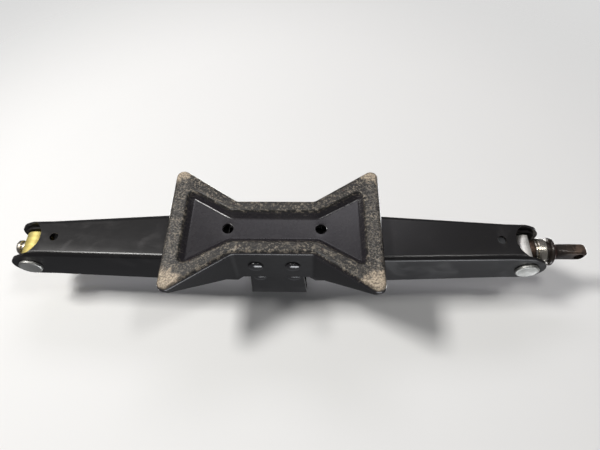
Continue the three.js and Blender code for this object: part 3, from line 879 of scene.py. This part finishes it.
# ---- Stage ----
BACKDROP, BACKDROP_RADIUS = 0.70, 9.0
STAGE_HALF = 2.0


def unlit_only(obj):
    """Leaves a stage piece to the camera, so that it neither lights nor shades the jack."""
    obj.visible_shadow = False
    obj.visible_glossy = False
    obj.visible_diffuse = False


def stage_material(name, albedo, fade_start, fade_end):
    """Pale matte that is clear from behind and beyond fade_end from the middle."""
    t = Tree(name)
    light = (albedo, albedo, albedo * 0.99)
    dark = (albedo * 0.96, albedo * 0.96, albedo * 0.95)
    tone = t.mix(t.noise(scale=3.0, detail=3.0, rough=0.5), light, dark)
    matte = t.node("ShaderNodeBsdfDiffuse", {"Color": tone})
    clear = t.node("ShaderNodeBsdfTransparent")
    behind = t.node("ShaderNodeNewGeometry").outputs["Backfacing"]
    x, y, _ = t.axes()
    hidden = t.most(behind, t.fade(t.length(x, y), fade_start, fade_end))
    return t.finished(t.node("ShaderNodeMixShader", {0: hidden, 1: matte.outputs[0], 2: clear.outputs[0]}))


def stage_plane(name, z, facing, albedo, fade_start, fade_end, body=None):
    """Pale plane drawn only on the side the object is on; facing is 1 up, -1 down."""
    half = STAGE_HALF
    corners = [(-half, -half, z), (half, -half, z), (half, half, z), (-half, half, z)]
    mesh = bpy.data.meshes.new(name)
    mesh.from_pydata(corners, [], [(0, 1, 2, 3) if facing > 0 else (3, 2, 1, 0)])
    mesh.materials.append(stage_material(name, albedo, fade_start, fade_end))
    plane = linked(name, mesh)
    if body:
        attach(plane, body)
    unlit_only(plane)


def backdrop():
    """Pale surround that only the camera sees."""
    t = Tree("backdrop")
    glow = t.node("ShaderNodeEmission", {"Color": (BACKDROP, BACKDROP, BACKDROP * 0.995)})
    bm = bmesh.new()
    bmesh.ops.create_icosphere(bm, subdivisions=3, radius=BACKDROP_RADIUS)
    mesh = baked(bm, "backdrop")
    mesh.materials.append(t.finished(glow))
    unlit_only(linked("backdrop", mesh))


def softbox(name, place, target, size, power, color=(1.0, 1.0, 1.0)):
    light = bpy.data.lights.new(name, "AREA")
    light.shape = "RECTANGLE"
    light.size, light.size_y = size
    light.energy = power
    light.color = color
    made = linked(name, light)
    made.location = place
    made.rotation_mode = "QUATERNION"
    made.rotation_quaternion = (Vector(target) - Vector(place)).to_track_quat("-Z", "Y")


saddle_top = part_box("head_bracket")[1].z
backdrop()
stage_plane("floor", 0.0, 1, albedo=0.42, fade_start=0.40, fade_end=1.10)
stage_plane("photo_table", saddle_top, -1, albedo=0.80, fade_start=0.30, fade_end=0.62, body="head")

# Below the jack, for the photograph's upside-down view.
FOOT_TARGET = (0, 0, 0.03)
softbox("key_below", (-0.66, -0.06, -1.05), FOOT_TARGET, (0.30, 0.20), 14.0, (1.0, 0.985, 0.96))
softbox("right_below", (0.52, 0.02, -1.10), FOOT_TARGET, (0.22, 0.16), 3.2, (1.0, 0.99, 0.97))
softbox("back_below", (0.05, -0.95, -1.10), FOOT_TARGET, (0.9, 0.4), 4.0, (0.96, 0.94, 1.0))
softbox("front_below", (-0.3, 1.3, -0.50), FOOT_TARGET, (1.0, 0.4), 0.5)
# Above it, for every view from the ground up.
HEAD_TARGET = (0, 0, 0.05)
softbox("key_above", (-0.45, -0.75, 1.25), HEAD_TARGET, (0.8, 0.6), 26.0, (1.0, 0.985, 0.96))
softbox("fill_above", (1.0, -0.5, 0.8), HEAD_TARGET, (0.9, 0.7), 10.0)
softbox("rim_above", (0.3, 1.2, 0.9), HEAD_TARGET, (1.2, 0.5), 12.0, (0.95, 0.97, 1.0))

WORLD_COLOR, WORLD_STRENGTH = (0.95, 0.96, 1.0, 1.0), 0.13
world = bpy.data.worlds.new("studio")
bpy.context.scene.world = world
world.use_nodes = True
world.node_tree.nodes["Background"].inputs[0].default_value = WORLD_COLOR
world.node_tree.nodes["Background"].inputs[1].default_value = WORLD_STRENGTH
bpy.context.scene.view_settings.view_transform = "Standard"

# ---- Camera: the photograph's view, from below and in front of the foot ----
SENSOR_WIDTH, LENS = 36.0, 27.58
CAMERA_PLACE = (0.027147, 0.177011, -0.292537)
CAMERA_RIGHT = (0.999738, -0.017247, 0.015910)
CAMERA_BACK = (0.022615, 0.518596, -0.854668)

camera_data = bpy.data.cameras.new("photo_camera")
camera_data.sensor_width = SENSOR_WIDTH
camera_data.lens = LENS
camera = linked("photo_camera", camera_data)
back = Vector(CAMERA_BACK).normalized()
up = back.cross(Vector(CAMERA_RIGHT)).normalized()
right = up.cross(back).normalized()
turn = Matrix((right, up, back)).transposed()
camera.matrix_world = Matrix.Translation(CAMERA_PLACE) @ turn.to_4x4()
bpy.context.scene.camera = camera
